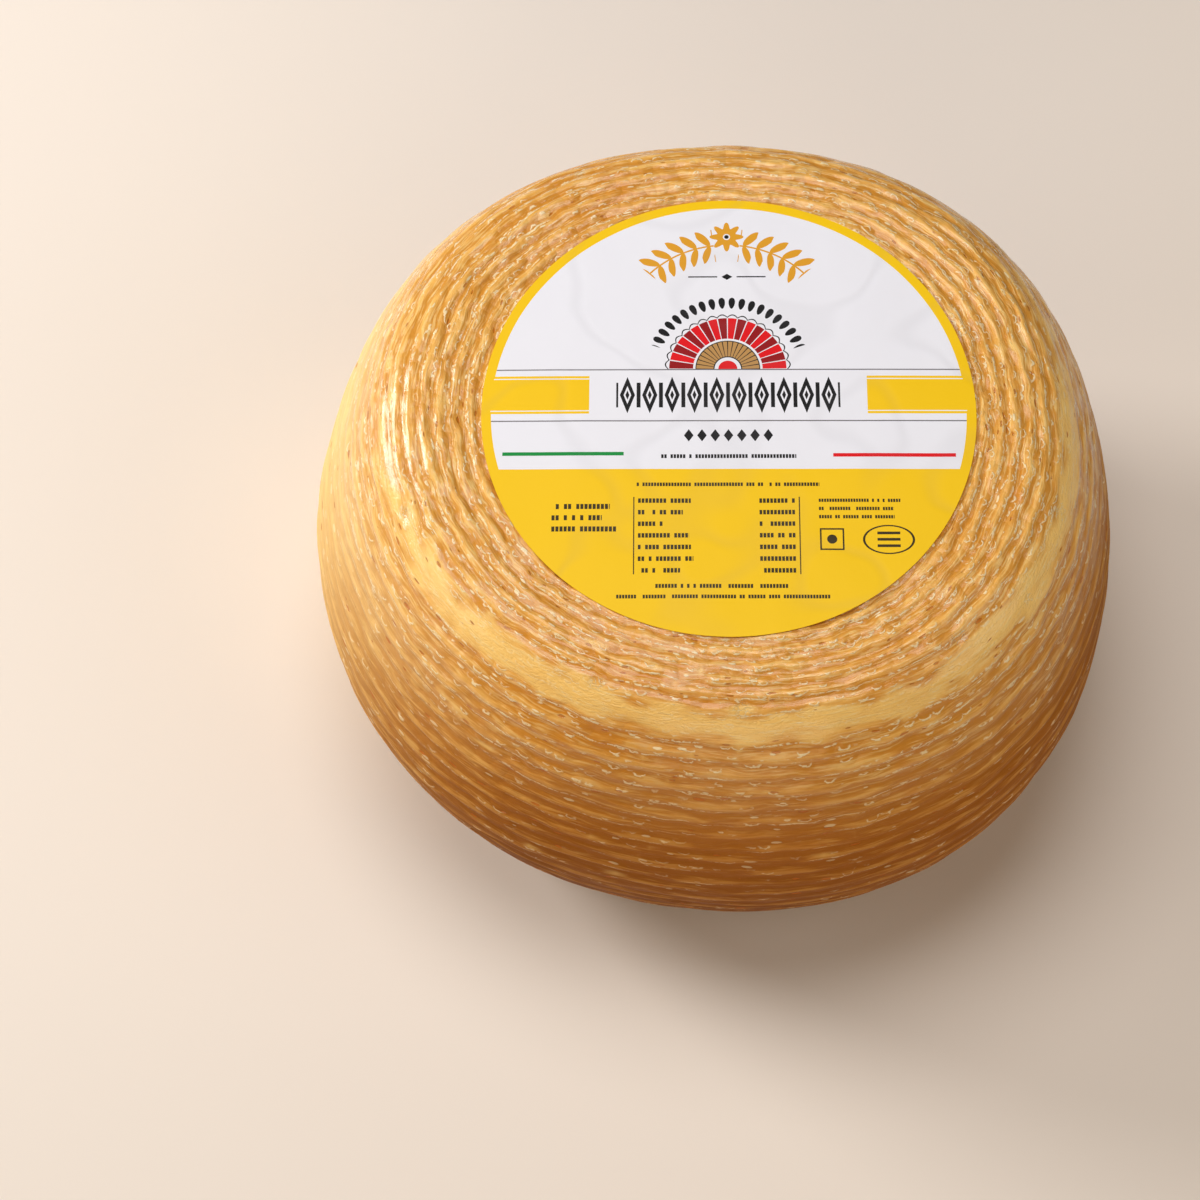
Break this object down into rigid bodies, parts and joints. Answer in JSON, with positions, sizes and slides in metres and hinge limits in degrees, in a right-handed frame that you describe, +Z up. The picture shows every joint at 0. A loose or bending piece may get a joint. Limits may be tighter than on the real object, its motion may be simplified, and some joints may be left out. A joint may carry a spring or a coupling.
{
  "type": "basket-moulded cheese wheel",
  "caption": "Whole round cheese wheel with bulging ridged sides, a smooth rolled shoulder and a round paper label on its upper face.",
  "frame": {"origin": "centre of the wheel's flat underside, on the surface it rests on", "axes": "+Z up through the wheel's axis, towards the label; +X along the label's print lines; +Y towards the top of the label"},
  "size_m": [0.2572, 0.2453, 0.1507],
  "materials": {
    "rind": "oiled amber-yellow cheese rind, slightly translucent",
    "label_paper": "printed satin paper, yellow and white fields"
  },
  "bodies": {
    "root": {"cheese_wheel": "rind", "label": "label_paper"}
  },
  "joints": []
}
